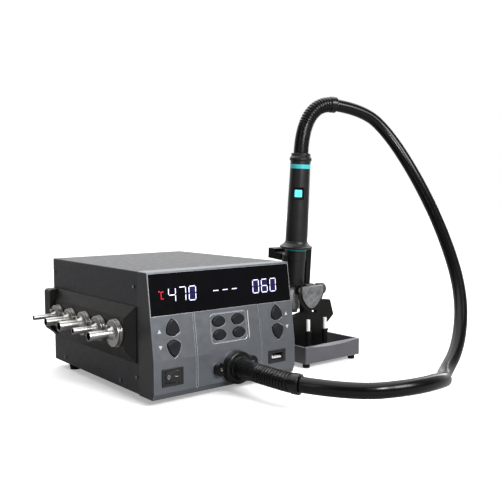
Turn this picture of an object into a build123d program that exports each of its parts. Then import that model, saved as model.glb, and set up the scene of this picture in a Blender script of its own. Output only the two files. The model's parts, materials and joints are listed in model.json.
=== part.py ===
from build123d import *
import math
import os

# Hot air rework station: a bench unit, its handle on a stand, and the air hose between them.
# Bench coordinates: x to the right, y to the back, z up; the unit's front left corner is at x = 0, y = 0.
# Every node is shifted by SHIFT at the end, so that the bench under the middle of the object is the origin.
SHIFT = (-143, -71, 0)

# unit
UNIT_W = 190
UNIT_D = 245
UNIT_H = 137
BASE_Z = 9
SHEET = 1.5
SEAM_Y = 30
LEAN_TOP = 12.5
BEND_Z = 47
CHIN_Z = 14
CHIN_LOW_Z = 7.5
CHIN_BACK = 4
BEZEL_WALL = 3
EDGE_R = 1.2
HOLE_CHAMFER = 0.6
PANEL_IN = 3.5
PANEL_OUT = 2
STANDOFF_X = (22, 78)
STANDOFF_Y = (42, 128)
VENT_ROWS = 6
VENT_PITCH = 9
VENT_X = (96, 138)
VENT_SIZE = (36, 4)
VENT_Z = 62
INLET_X = (26.5, 53.5)
INLET_Z = (26.2, 45.8)
INLET_WALL = 2
INLET_RIM = 11.5

# display
WINDOW_X = (1.5, 188.5)
WINDOW_V = (46, 88.8)
WINDOW_T = 3
DIGIT_H = 14
DIGIT_W = 8.5
DIGIT_PITCH = 12.5
SEGMENT = 1
DIGIT_T = 0.25
DIGIT_GROUPS = ((23.7, 66, "470"), (78.8, 66, "---"), (134, 66, "060"))
SIGN_AT = (12.5, 67)

# buttons on the leaning face: x and height up the face
PRESET_AT = ((83.5, 32.7), (109.5, 32.7), (83.5, 18.2), (109.5, 18.2))
PRESET_RX = 8.4
PRESET_RY = 5.6
ARROW_AT = {"temp_up": (25.5, 31.7, 1), "temp_down": (25.5, 13, -1),
            "air_up": (165, 32.7, 1), "air_down": (165, 14, -1)}
ARROW_W = 17
ARROW_H = 17.5
BUTTON_OUT = 2.2
BUTTON_GAP = 0.35
SURROUND_X = (72.5, 121)
SURROUND_V = (9.5, 41.5)
GROOVE_X = (52, 140)

# power switch and socket on the lower face
SWITCH_X = (9.5, 34.5)
SWITCH_Z = (21, 39)
ROCKER_Y = 2
ROCKER_PIN_R = 1.2
SOCKET_X = (149.5, 174.5)
SOCKET_Z = (24, 38.5)

# hose outlet
GLAND_X = 103
GLAND_Z = 28
GLAND_R = 18
GLAND_T = 9
EAR_R = 7
EAR_T = 5
SCREW_HEAD_R = 1.9
SCREW_HEAD = 1.1
EAR_REACH = 23
BORE_R = 5.5
SPIGOT_R = 9.9
SPIGOT_LENGTH = 16
SCREW_R = 1.5
CUFF_R0 = 11.5
CUFF_R1 = 9.6
CUFF_CONE = 26

# air hose: the corners of its run from the cuff to the boot
HOSE_R = 8
HOSE_BORE = 6
HOSE_ROUTE = [(107, -99, 28), (130, -150, 26.5), (180, -180, 29.5), (239, -175, 27.5), (291, -130, 8),
              (356, -109, 34), (397, -83, 93), (417, -40, 165), (419, 4.5, 237), (396, 36, 299),
              (362, 51.5, 330.3), (321, 65.3, 335)]

# blower inside the unit
BLOWER_AT = (135, 160)
BLOWER_R = 44
BLOWER_Z = (14, 54)
BLOWER_WALL = 2
INTAKE_R = 15
SHAFT_R = 2.5
MOTOR_R = 16
WHEEL_R = 36
BLADES = 18
DUCT_X = (91, 115)
DUCT_Z = (16, 40)

# nozzle rack on the left side
RACK_Y = (33, 245)
RACK_Z = (41, 100)
RACK_OUT = 8
RACK_SLOPE = 13
RACK_CORNER_R = 4
RACK_BEVEL = 1
RACK_WALL_Y = 228
RACK_WALL_OUT = 13
NOZZLE_Z = 70
NOZZLE_Y = (210, 173, 136, 99, 61)
NOZZLE_TUBE_R = (3, 4.6, 5.5, 3.6, 5)
NOZZLE_BASE_R = (13, 13, 14, 14, 15)
NOZZLE_TIP_X = -41
PEG_R = 2.2
PEG_FIT = 0.35
PEG_LEN = 12

# handle: heights along its own axis, measured from the tilt pivot
PIVOT = (0, 76, 90)
LEAN_DEG = 4.5
AXIS_X = 278
AXIS_Y = 23.4
COVER_Z = (6, 50.5)
COVER_R = 14.2
GUARD_Z = (53.3, 63)
GUARD_R = 21.8
GRIP_Z = (63, 159.5)
GRIP_R = (14.7, 13.4)
RING_Z = (159.5, 165)
COLLAR_Z = (165, 179.5)
BARREL_R = 8.5
BARREL_Z = (-34, 3)
BOOT_R = 10
BOOT_BEND_R = 41
BUTTON_Z = 127
BUTTON_AZ = -45

# stand
TRAY_X = (230, 327)
TRAY_Y = (24, 144)
TRAY_Z = (6, 27)
TRAY_WALL = 2.5
TRAY_FRONT = 5
TRAY_DISH = 2.6
DISH_INSET = 4
DISH_STRIP = 1
STAND_FOOT_R = 4.5
POST_X = (252, 311)
LUG_X = (275, 290)
LUG_R = 8
LUG_GAP = 0.4
CHEEKS_X = (270.5, 296)
CHEEK_BACK = 12.5
PIN_R = 3
PIN_FIT = 0.05
SEAT_R = 14.7
SEAT_OUT_R = 18
SEAT_Z = (3, 44.5)
CHEEK_TOP = 52.5
STRIP_REACH = 9
BAND_TOP = -3
TAIL_BACK = 66
TAIL_STEP = 30
TAIL_Z = (35, 49)
SHIELD_T = 2
PEGS_X = (264, 294)
PEGS_Y = 56
COLUMN_TOP = 39.5


def span_box(x, y, z):
    """A box from three (low, high) pairs."""
    size = (x[1] - x[0], y[1] - y[0], z[1] - z[0])
    return Pos((x[0] + x[1]) / 2, (y[0] + y[1]) / 2, (z[0] + z[1]) / 2) * Box(*size)


def rod(start, direction, radius, length):
    """A cylinder from a start point along a direction."""
    return Plane(origin=start, z_dir=direction) * Pos(0, 0, length / 2) * Cylinder(radius, length)


def cone(start, direction, r0, r1, length):
    return Plane(origin=start, z_dir=direction) * Pos(0, 0, length / 2) * Cone(r0, r1, length)


def turned(profile, x, y):
    """A solid of revolution about the vertical line at x, y from (radius, height) points."""
    face = make_face(Polyline(*[(r, 0, h) for r, h in profile], close=True))
    return Pos(x, y, 0) * revolve(face, Axis.Z)


def side_profile(points, x0, x1):
    """Extrude a (y, z) outline from x0 to x1."""
    face = make_face(Polyline(*[(x0, y, z) for y, z in points], close=True))
    return extrude(face, amount=x1 - x0, dir=(1, 0, 0))


def front_outline(points, y0, y1):
    """Extrude an (x, z) outline from y0 to y1."""
    face = make_face(Polyline(*[(x, y0, z) for x, z in points], close=True))
    return extrude(face, amount=y1 - y0, dir=(0, 1, 0))


LEAN_ANGLE = math.atan2(LEAN_TOP, UNIT_H - BEND_Z)
FACE = Plane(origin=(0, 0, BEND_Z), x_dir=(1, 0, 0),
             z_dir=(0, -math.cos(LEAN_ANGLE), math.sin(LEAN_ANGLE)))
TILT = Pos(*PIVOT) * Rot(LEAN_DEG, 0, 0)


def arrow_outline(at_x, at_v, way, grow=0):
    """Pointed arch with a rounded foot, pointing up (way 1) or down (way -1)."""
    half = ARROW_W / 2 + grow
    tip = ARROW_H * 0.6 + grow
    low = ARROW_H * 0.4 + grow
    pts = [(-half * 0.93, -low * 0.45), (-half * 0.62, tip * 0.52), (0, tip)]
    right = [(half * 0.62, tip * 0.52), (half * 0.93, -low * 0.45)]
    side_a = Spline((pts[0][0], pts[0][1] * way), (pts[1][0], pts[1][1] * way), (pts[2][0], pts[2][1] * way))
    side_b = Spline((0, tip * way), (right[0][0], right[0][1] * way), (right[1][0], right[1][1] * way))
    foot = ThreePointArc((right[1][0], right[1][1] * way), (0, -low * way), (pts[0][0], pts[0][1] * way))
    return Pos(at_x, at_v) * make_face([side_a, side_b, foot])


def preset_outline(at_x, at_v, grow=0):
    return Pos(at_x, at_v) * Ellipse(PRESET_RX + grow, PRESET_RY + grow)


def bottom_chassis():
    """Folded pan with standoffs for the boards."""
    pan = span_box((SHEET, UNIT_W - SHEET), (SEAM_Y, UNIT_D - PANEL_IN), (BASE_Z, BASE_Z + SHEET))
    for x in (SHEET, UNIT_W - 2 * SHEET):
        pan += span_box((x, x + SHEET), (SEAM_Y, UNIT_D - PANEL_IN), (BASE_Z, BASE_Z + 12))
    for x in STANDOFF_X:
        for y in STANDOFF_Y:
            pan += rod((x, y, BASE_Z), (0, 0, 1), 3, 7)
    pan -= rod((*BLOWER_AT, BASE_Z - 1), (0, 0, 1), INTAKE_R, 4)
    return pan


def screw_places():
    """Cover screws as (y, z) on each side."""
    return ((239.4, 120.5), (37.7, 120.5), (214, 16), (70, 16), (34.5, 26))


def top_cover():
    """U-shaped sheet: roof and two sides."""
    outer = span_box((0, UNIT_W), (SEAM_Y, UNIT_D), (BASE_Z, UNIT_H))
    outer = fillet(outer.edges().filter_by(Axis.Y).group_by(Axis.Z)[-1], EDGE_R)
    inner = span_box((SHEET, UNIT_W - SHEET), (SEAM_Y - 1, UNIT_D + 1), (BASE_Z - 1, UNIT_H - SHEET))
    cover = outer - inner
    for y, z in screw_places():
        cover -= rod((-1, y, z), (1, 0, 0), SCREW_R, UNIT_W + 2)
    return cover


def unit_screws():
    """Cover screws on both sides and the two screws of the hose outlet."""
    group = []
    for y, z in screw_places():
        for x, way in ((0, 1), (UNIT_W, -1)):
            shank = rod((x, y, z), (way, 0, 0), SCREW_R, SHEET)
            head = rod((x, y, z), (-way, 0, 0), SCREW_HEAD_R, SCREW_HEAD)
            slot = rod((x - way * SCREW_HEAD * 0.5, y, z), (-way, 0, 0), 0.8, SCREW_HEAD)
            group.append(head + shank - slot)
    for x, z in gland_screw_places():
        head = rod((x, -EAR_T - SCREW_HEAD, z), (0, 1, 0), SCREW_HEAD_R, SCREW_HEAD)
        head -= rod((x, -EAR_T - SCREW_HEAD - 1, z), (0, 1, 0), 0.8, 1.6)
        group.append(head + rod((x, -EAR_T, z), (0, 1, 0), SCREW_R, 8))
    return Compound(children=group)


def rear_panel():
    panel = span_box((SHEET, UNIT_W - SHEET), (UNIT_D - PANEL_IN, UNIT_D - PANEL_OUT), (BASE_Z, UNIT_H - SHEET))
    for row in range(VENT_ROWS):
        z = VENT_Z + row * VENT_PITCH
        for x in VENT_X:
            panel -= span_box((x, x + VENT_SIZE[0]), (UNIT_D - 4, UNIT_D), (z, z + VENT_SIZE[1]))
    panel -= span_box(INLET_X, (UNIT_D - 4, UNIT_D), INLET_Z)
    return panel


def mains_inlet():
    """Three-pin inlet with its flange outside the rear panel."""
    rim_x = (INLET_X[0] - INLET_RIM, INLET_X[1] + INLET_RIM)
    inlet = span_box(rim_x, (UNIT_D - PANEL_OUT, UNIT_D), (INLET_Z[0] - 1.2, INLET_Z[1] + 1.2))
    inlet += span_box(INLET_X, (UNIT_D - 22, UNIT_D - PANEL_OUT), INLET_Z)
    well_x = (INLET_X[0] + INLET_WALL, INLET_X[1] - INLET_WALL)
    well_z = (INLET_Z[0] + INLET_WALL, INLET_Z[1] - INLET_WALL)
    inlet -= span_box(well_x, (UNIT_D - 16, UNIT_D + 1), well_z)
    for x, z in ((33.5, 34), (40, 38.5), (46.5, 34)):
        inlet += span_box((x - 0.9, x + 0.9), (UNIT_D - 18, UNIT_D - 4), (z - 2, z + 2))
    return inlet


def bezel_outline(inset, back):
    """Side outline (y, z) of the front moulding, inset by the wall."""
    slope = LEAN_TOP / (UNIT_H - BEND_Z)
    top = UNIT_H - inset
    return [(back, CHIN_LOW_Z + inset), (back, top), (LEAN_TOP - inset * slope + inset, top),
            (inset, BEND_Z), (inset, CHIN_Z + inset * 0.3), (CHIN_BACK + inset * 0.4, CHIN_LOW_Z + inset)]


def on_bend(edge):
    """True for the shallow bend between the leaning and the upright face."""
    return abs(edge.center().Z - BEND_Z) < 0.1 and edge.length > UNIT_W / 2


def button_hole(outline, at):
    """A hole through the front for one button, widened at the face by a chamfer."""
    wide = BUTTON_GAP + HOLE_CHAMFER
    hole = extrude(FACE * outline(*at, BUTTON_GAP), 8, both=True)
    mouth = FACE * Pos(0, 0, 0.01) * outline(*at, wide)
    throat = FACE * Pos(0, 0, -HOLE_CHAMFER) * outline(*at, BUTTON_GAP)
    rim = loft([mouth, throat])
    return hole + rim


def front_bezel():
    """Moulded front: leaning upper face, upright lower face and a bevelled chin."""
    shell = side_profile(bezel_outline(0, SEAM_Y), 0, UNIT_W)
    outside = [e for e in shell.edges() if e.center().Y < SEAM_Y - 1 and not on_bend(e)]
    shell = fillet(outside, EDGE_R)
    shell -= side_profile(bezel_outline(BEZEL_WALL, SEAM_Y + 1), BEZEL_WALL, UNIT_W - BEZEL_WALL)
    corner = Plane(origin=(UNIT_W, 0, 0), x_dir=(1, 0, 0), z_dir=(0, -1, 0))
    shell -= extrude(corner * make_face(Polyline((-6, 5), (2, 5), (2, 19), (0.5, 19), close=True)), 3, both=True)
    w = Pos((WINDOW_X[0] + WINDOW_X[1]) / 2, (WINDOW_V[0] + WINDOW_V[1]) / 2)
    opening = w * Rectangle(WINDOW_X[1] - WINDOW_X[0], WINDOW_V[1] - WINDOW_V[0])
    shell -= extrude(FACE * opening, 6, both=True)
    for at in PRESET_AT:
        shell -= button_hole(preset_outline, at)
    for at in ARROW_AT.values():
        shell -= button_hole(arrow_outline, at)
    mid = Pos((SURROUND_X[0] + SURROUND_X[1]) / 2, (SURROUND_V[0] + SURROUND_V[1]) / 2)
    size = (SURROUND_X[1] - SURROUND_X[0], SURROUND_V[1] - SURROUND_V[0])
    ring = mid * RectangleRounded(*size, 4) - mid * RectangleRounded(size[0] - 1.4, size[1] - 1.4, 3.3)
    shell -= extrude(FACE * ring, -0.5)
    for x, w_groove in zip(GROOVE_X, (1.6, 0.8)):
        shell -= extrude(FACE * Pos(x, 22.9) * Rectangle(w_groove, 46), -0.9)
        shell -= span_box((x - w_groove / 2, x + w_groove / 2), (-1, 0.9), (CHIN_Z, BEND_Z))
    shell -= span_box((SWITCH_X[0] + 1.5, SWITCH_X[1] - 1.5), (-1, 5), (SWITCH_Z[0] + 1.5, SWITCH_Z[1] - 1.5))
    shell -= span_box((SOCKET_X[0] + 1.2, SOCKET_X[1] - 1.2), (-1, 5), (SOCKET_Z[0] + 1.2, SOCKET_Z[1] - 1.2))
    shell -= rod((GLAND_X, -1, GLAND_Z), (0, 1, 0), 10, 6)
    for x, z in gland_screw_places():
        shell -= rod((x, -1, z), (0, 1, 0), SCREW_R, 6)
    return shell


def display_window():
    w = Pos((WINDOW_X[0] + WINDOW_X[1]) / 2, (WINDOW_V[0] + WINDOW_V[1]) / 2)
    return extrude(FACE * w * Rectangle(WINDOW_X[1] - WINDOW_X[0], WINDOW_V[1] - WINDOW_V[0]), -WINDOW_T)


def display_board():
    """Circuit board behind the window with digit blocks and spacers."""
    board = extrude(FACE * Pos(95, 67.4, -6.6) * Rectangle(168, 34), 1.6)
    for x in (40, 95, 151):
        board += extrude(FACE * Pos(x, 67, -5) * Rectangle(44, 22), 1.4)
    for x in (14, 176):
        for v in (53, 82):
            board += extrude(FACE * Pos(x, v, -5) * Circle(2), 2)
    return board


SEGMENTS = {"0": "abcdef", "4": "bcfg", "6": "acdefg", "7": "abc", "-": "g"}


def segment(name, x, v):
    """One bar of a seven-bar digit whose lower left corner is at x, v."""
    half = DIGIT_H / 2
    if name in "adg":
        height = {"a": DIGIT_H, "d": 0, "g": half}[name]
        bar = Pos(x + DIGIT_W / 2, v + height) * Rectangle(DIGIT_W - SEGMENT * 1.2, SEGMENT)
    else:
        across = x + (DIGIT_W if name in "bc" else 0)
        height = v + half * (0.5 if name in "ce" else 1.5)
        bar = Pos(across, height) * Rectangle(SEGMENT, half - SEGMENT * 1.2)
    return extrude(FACE * bar, DIGIT_T)


def degree_sign():
    """Red unit sign at the left of the display: an open C with a small ring."""
    x, v = SIGN_AT
    bow = Pos(x + 2.5, v - 1) * (Ellipse(3.2, 4.6) - Ellipse(2.1, 3.5) - Pos(3, 0) * Rectangle(4, 3.6))
    dot = Pos(x - 2.6, v + 4) * (Circle(1.4) - Circle(0.7))
    return [extrude(FACE * bow, DIGIT_T), extrude(FACE * dot, DIGIT_T)]


def display_digits():
    bars = []
    for x, v, text in DIGIT_GROUPS:
        for n, digit in enumerate(text):
            low = v - DIGIT_H / 2
            for name in SEGMENTS[digit]:
                bars.append(segment(name, x + n * DIGIT_PITCH, low))
    return Compound(children=bars + degree_sign())


def front_marks():
    """Printed arrow marks and the line beside the preset buttons."""
    marks = []
    for x, v, way in ((9.5, 30.5, 1), (9.5, 14, -1), (179.5, 31.5, 1), (179.5, 16, -1)):
        tri = Polyline((x - 2.3, v - 2 * way), (x + 2.3, v - 2 * way), (x, v + 2.2 * way), close=True)
        marks.append(extrude(FACE * make_face(tri), 0.15))
    marks.append(extrude(FACE * Pos(123.5, 25.5) * Rectangle(1.1, 30), 0.15))
    return Compound(children=marks)


def cap_button(outline, small):
    """A push button: a stem behind a raised cap with a small step round its edge."""
    cap = extrude(FACE * Pos(0, 0, -5) * outline, 5 + BUTTON_OUT * 0.6)
    crown = extrude(FACE * Pos(0, 0, BUTTON_OUT * 0.6) * small, BUTTON_OUT * 0.4)
    return cap + crown


def preset_button(n):
    x, v = PRESET_AT[n]
    return cap_button(preset_outline(x, v), preset_outline(x, v, -1.1))


def arrow_button(name):
    x, v, way = ARROW_AT[name]
    return cap_button(arrow_outline(x, v, way), arrow_outline(x, v, way, -1.2))


def switch_frame():
    """Snap-in switch body with a rim and a well for the rocker."""
    rim = span_box(SWITCH_X, (-1.4, 0), SWITCH_Z)
    x = (SWITCH_X[0] + 1.5, SWITCH_X[1] - 1.5)
    z = (SWITCH_Z[0] + 1.5, SWITCH_Z[1] - 1.5)
    frame = rim + span_box(x, (0, 19), z)
    frame -= span_box((x[0] + 1, x[1] - 1), (-2, 13.5), (z[0] + 1, z[1] - 1))
    return frame - rod(((x[0] + x[1]) / 2, ROCKER_Y, z[0]), (0, 0, 1), ROCKER_PIN_R + PIN_FIT, z[1] - z[0])


def power_rocker():
    """Rocker with a wide V face, pivoting on an upright axis in its well."""
    x0 = SWITCH_X[0] + 4.1
    x1 = SWITCH_X[1] - 4.1
    mid = (x0 + x1) / 2
    low = SWITCH_Z[0] + 2.9
    high = SWITCH_Z[1] - 2.9
    points = [(x0, 2.2), (x0, -0.2), (mid, 0.6), (x1, -3.0), (x1, 0.6), (mid + 4, 9), (mid - 4, 9)]
    face = make_face(Polyline(*[(x, y, low) for x, y in points], close=True))
    rocker = extrude(face, amount=high - low, dir=(0, 0, 1))
    return rocker + rod((mid, ROCKER_Y, low - 1), (0, 0, 1), ROCKER_PIN_R, high - low + 2)


def socket_shell():
    """Data socket: square black frame with a deep well."""
    rim = span_box(SOCKET_X, (-1, 0), SOCKET_Z)
    x = (SOCKET_X[0] + 1.2, SOCKET_X[1] - 1.2)
    z = (SOCKET_Z[0] + 1.2, SOCKET_Z[1] - 1.2)
    shell = rim + span_box(x, (0, 18), z)
    shell -= span_box((x[0] + 3, x[1] - 3), (-2, 16), (z[0] + 2.2, z[1] - 2.2))
    return shell


def socket_tongue():
    x = (SOCKET_X[0] + 1.2, SOCKET_X[1] - 1.2)
    mid_z = (SOCKET_Z[0] + SOCKET_Z[1]) / 2
    tongue = span_box((x[0] + 4.2, x[1] - 4.2), (0.5, 16), (mid_z - 2.6, mid_z - 0.8))
    tongue += span_box((x[0] + 4.2, x[0] + 5.4), (0.5, 16), (mid_z - 0.8, mid_z + 1.6))
    return tongue


def gland_screw_places():
    return ((GLAND_X - EAR_REACH, GLAND_Z + 1), (GLAND_X + EAR_REACH - 3, GLAND_Z + 3))


def hose_gland():
    """Round flange with two screwed ears and a spigot through the front."""
    gland = rod((GLAND_X, 0, GLAND_Z), (0, -1, 0), GLAND_R, GLAND_T)
    for x, z in gland_screw_places():
        gland += rod((x, 0, z), (0, -1, 0), EAR_R, EAR_T)
    gland += rod((GLAND_X, 0, GLAND_Z), (0, 1, 0), SPIGOT_R, SPIGOT_LENGTH)
    gland -= rod((GLAND_X, -20, GLAND_Z), (0, 1, 0), BORE_R, 50)
    for x, z in gland_screw_places():
        gland -= rod((x, -20, z), (0, 1, 0), SCREW_R, 30)
    gland = fillet(gland.edges().filter_by(GeomType.CIRCLE).group_by(Axis.Y)[0].sort_by(SortBy.RADIUS)[-1], 2.5)
    return gland


def cuff_path():
    """Straight out of the gland, then round to the first run of the hose."""
    a = Vector(*HOSE_ROUTE[0])
    run = (Vector(*HOSE_ROUTE[1]) - a).normalized()
    back = (a.X - GLAND_X) / run.X
    corner = a - run * back
    start = (GLAND_X, -GLAND_T - CUFF_CONE, GLAND_Z)
    return FilletPolyline(start, tuple(corner), tuple(a), radius=38)


def hose_cuff():
    """Strain relief: a cone off the gland, then a tube of even diameter with an end ring."""
    path = cuff_path()
    start = Plane(origin=path @ 0, z_dir=path % 0)
    tube = sweep(start * Circle(CUFF_R1), path)
    tube -= sweep(start * Circle(BORE_R), path)
    body = cone((GLAND_X, -GLAND_T, GLAND_Z), (0, -1, 0), CUFF_R0, CUFF_R1, CUFF_CONE)
    body -= rod((GLAND_X, 0, GLAND_Z), (0, -1, 0), BORE_R, 60)
    end = Plane(origin=path @ 1, z_dir=-(path % 1))
    ring = end * Pos(0, 0, 3.5) * Cylinder(CUFF_R1 + 1, 7)
    ring -= end * Pos(0, 0, 3.5) * Cylinder(CUFF_R1 - 1, 9)
    return tube + body + ring


def route_radii():
    """One fillet radius per corner, from the shorter of its two runs and its turn."""
    pts = [Vector(*p) for p in HOSE_ROUTE]
    radii = []
    for a, b, c in zip(pts, pts[1:], pts[2:]):
        turn = math.radians((b - a).get_angle(c - b))
        radii.append(0.45 * min((b - a).length, (c - b).length) / math.tan(turn / 2))
    return radii


def filleted_route(points, radii):
    """Straight runs joined by tangent arcs."""
    pts = [Vector(*p) for p in points]
    edges = []
    at = pts[0]
    for a, b, c, radius in zip(pts, pts[1:], pts[2:], radii):
        first = (a - b).normalized()
        second = (c - b).normalized()
        half = math.radians((b - a).get_angle(c - b)) / 2
        cut = radius * math.tan(half)
        p = b + first * cut
        q = b + second * cut
        middle = b + (first + second).normalized() * (radius / math.cos(half) - radius)
        edges.append(Line(at, p))
        edges.append(ThreePointArc(p, middle, q))
        at = q
    edges.append(Line(at, pts[-1]))
    return Wire([e.edge() for e in edges])


def hose():
    radii = route_radii()
    print("hose radii", [round(r) for r in radii])
    path = filleted_route(HOSE_ROUTE, radii)
    start = Plane(origin=path @ 0, z_dir=path % 0)
    tube = sweep(start * Circle(HOSE_R), path, transition=Transition.ROUND)
    tube -= sweep(start * Circle(HOSE_BORE), path, transition=Transition.ROUND)
    section = math.pi * (HOSE_R ** 2 - HOSE_BORE ** 2)
    print("hose length", round(path.length, 1), "volume check", round(tube.volume / (section * path.length), 4))
    return tube


def nozzle_rack():
    """Raised black moulding with sloped edges, pegs for five nozzles and a deeper wall at the back."""
    y0, y1 = RACK_Y
    z0, z1 = RACK_Z

    def section(out, ya, yb, za, zb):
        pts = [(-out, ya, za), (-out, yb, za), (-out, yb, zb), (-out, ya, zb)]
        return make_face(Polyline(*pts, close=True))

    foot = extrude(section(0, y0, y1, z0, z1), amount=1.5, dir=(-1, 0, 0))
    low = section(1.5, y0, RACK_WALL_Y, z0, z1)
    high = section(RACK_OUT, y0 + RACK_SLOPE, RACK_WALL_Y, z0 + RACK_SLOPE, z1 - RACK_SLOPE)
    rack = foot + loft([low, high])
    wall = span_box((-RACK_WALL_OUT, 0), (RACK_WALL_Y, y1), (z0, z1))
    slant = [(-RACK_WALL_OUT - 1, z0 - 1), (1, z0 - 1), (-RACK_WALL_OUT - 1, z0 + 11)]
    wall -= front_outline(slant, RACK_WALL_Y, y1)
    wall = fillet(wall.edges().filter_by(Axis.Y).sort_by(Axis.X)[0:2], RACK_CORNER_R)
    wall = fillet(wall.edges().group_by(Axis.Y)[-1].sort_by(Axis.X)[0:3], 1)
    front = [edge for edge in rack.faces().sort_by(Axis.X)[0].edges() if edge.center().Y < RACK_WALL_Y - 1]
    rack = chamfer(front, RACK_BEVEL) + wall
    for y in NOZZLE_Y:
        rack += rod((-RACK_OUT, y, NOZZLE_Z), (-1, 0, 0), PEG_R, PEG_LEN)
    return rack


def nozzle(n):
    """Turned nozzle on its peg: base disc, groove, second disc, tube and a clamp screw stub."""
    y = NOZZLE_Y[n]
    base = NOZZLE_BASE_R[n]
    tube = NOZZLE_TUBE_R[n]
    root = -RACK_OUT
    body = rod((root, y, NOZZLE_Z), (-1, 0, 0), base, 2.6)
    body += rod((root - 2.6, y, NOZZLE_Z), (-1, 0, 0), base - 2.2, 2.4)
    body += rod((root - 5, y, NOZZLE_Z), (-1, 0, 0), base - 0.8, 1.6)
    body += cone((root - 6.6, y, NOZZLE_Z), (-1, 0, 0), base - 1.6, tube + 1.2, 2.6)
    body += rod((root - 9.2, y, NOZZLE_Z), (-1, 0, 0), tube, -NOZZLE_TIP_X + root - 9.2)
    body += rod((root - 6.6, y - base * 0.62, NOZZLE_Z + base * 0.42), (-1, 0, 0), 2.1, 3.4)
    body -= rod((root + 1, y, NOZZLE_Z), (-1, 0, 0), PEG_R + PEG_FIT, PEG_LEN + 2)
    body -= rod((root - PEG_LEN, y, NOZZLE_Z), (-1, 0, 0), tube - 0.7, 40)
    return body


def control_board():
    """Upright board inside the front, behind the buttons."""
    board = extrude(FACE * Pos(95, 22, -9) * Rectangle(160, 40), 1.6)
    for x in (40, 140):
        board += extrude(FACE * Pos(x, 10, -9) * Rectangle(18, 10), -3)
    return board


def power_board():
    """Circuit board with its parts and a finned heatsink."""
    board = span_box((16, 84), (36, 134), (16, 17.6))
    board += span_box((22, 40), (44, 66), (17.6, 34))
    board += rod((60, 56, 17.6), (0, 0, 1), 8, 26)
    board += span_box((24, 46), (84, 100), (17.6, 30))
    sink = span_box((52, 80), (80, 126), (17.6, 21))
    for n in range(7):
        x = 52 + n * 4.4
        sink += span_box((x, x + 1.6), (80, 126), (21, 46))
    return Compound(children=[board, sink])


def transformer():
    """Laminated core with a winding and two feet."""
    core = span_box((20, 74), (150, 196), (12, 60))
    core -= span_box((30, 64), (149, 197), (22, 50))
    core += span_box((38, 56), (150, 196), (22, 50))
    coil = span_box((32, 62), (142, 204), (24, 48)) - span_box((38, 56), (140, 206), (22, 50))
    feet = span_box((14, 80), (156, 190), (BASE_Z + SHEET, 12))
    return core + coil + feet


def blower_housing():
    """Round casing with an outlet leading forward to the hose."""
    x, y = BLOWER_AT
    low, high = BLOWER_Z
    inner_x = (DUCT_X[0] + BLOWER_WALL, DUCT_X[1] - BLOWER_WALL)
    inner_z = (DUCT_Z[0] + BLOWER_WALL, DUCT_Z[1] - BLOWER_WALL)
    case = rod((x, y, low), (0, 0, 1), BLOWER_R, high - low)
    case += span_box(DUCT_X, (112, y), DUCT_Z)
    case -= rod((x, y, low + BLOWER_WALL), (0, 0, 1), BLOWER_R - BLOWER_WALL, high - low - 2 * BLOWER_WALL)
    case -= span_box(inner_x, (108, y), inner_z)
    case -= rod((x, y, low - 4), (0, 0, 1), INTAKE_R, 8)
    case -= rod((x, y, high - 4), (0, 0, 1), 4, 8)
    for foot_x, foot_y in ((104, 190), (166, 190), (166, 130)):
        case += rod((foot_x, foot_y, BASE_Z + SHEET), (0, 0, 1), 4, 5)
    return case


def blower_motor():
    motor = rod((*BLOWER_AT, BLOWER_Z[1]), (0, 0, 1), MOTOR_R, 26)
    motor += rod((*BLOWER_AT, 24), (0, 0, 1), SHAFT_R, BLOWER_Z[1] - 24)
    motor += rod((*BLOWER_AT, BLOWER_Z[1] + 26), (0, 0, 1), 5, 3)
    return motor


def blower_impeller():
    """Backplate, hub and curved row of blades."""
    wheel = rod((*BLOWER_AT, 46), (0, 0, 1), WHEEL_R, 2)
    wheel += rod((*BLOWER_AT, 26), (0, 0, 1), 6, 20)
    for n in range(BLADES):
        blade = Pos(WHEEL_R - 6, 0, 34) * Rot(0, 0, 35) * Box(12, 1.2, 24)
        wheel += Pos(*BLOWER_AT, 0) * Rot(0, 0, n * 360 / BLADES) * blade
    wheel -= rod((*BLOWER_AT, 20), (0, 0, 1), SHAFT_R + PIN_FIT, 40)
    return wheel


def outlet_duct():
    """Square-to-round duct from the blower to the gland's spigot."""
    inner_x = (DUCT_X[0] + BLOWER_WALL, DUCT_X[1] - BLOWER_WALL)
    inner_z = (DUCT_Z[0] + BLOWER_WALL, DUCT_Z[1] - BLOWER_WALL)
    duct = span_box(DUCT_X, (96, 112), DUCT_Z) - span_box(inner_x, (98, 113), inner_z)
    duct += rod((GLAND_X, SPIGOT_LENGTH + 1, GLAND_Z), (0, 1, 0), 11.5, 80)
    duct -= rod((GLAND_X, SPIGOT_LENGTH - 1, GLAND_Z), (0, 1, 0), 9, 84)
    return duct


def tilted(shape):
    """From the handle's own axes, with the pivot at the origin, to the bench."""
    return TILT * shape


def on_axis(profile):
    return tilted(turned(profile, AXIS_X, AXIS_Y))


def grip_shell(front):
    """Half of the grip, split along the plane of the axis that faces the button."""
    z0, z1 = GRIP_Z
    tube = turned([(GRIP_R[0] - 2, z0), (GRIP_R[0], z0), (GRIP_R[0], z0 + 14), (GRIP_R[1], z1),
                   (GRIP_R[1] - 2, z1), (GRIP_R[0] - 2, z0 + 14)], 0, 0)
    half = span_box((-40, 40), (-40, 0) if front else (0, 40), (z0 - 1, z1 + 1))
    shell = tube & half
    if front:
        seat = span_box((-7.6, 7.6), (-15, -9), (BUTTON_Z - 8, BUTTON_Z + 8))
        shell -= seat
    return tilted(Pos(AXIS_X, AXIS_Y, 0) * Rot(0, 0, BUTTON_AZ) * shell)


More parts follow.
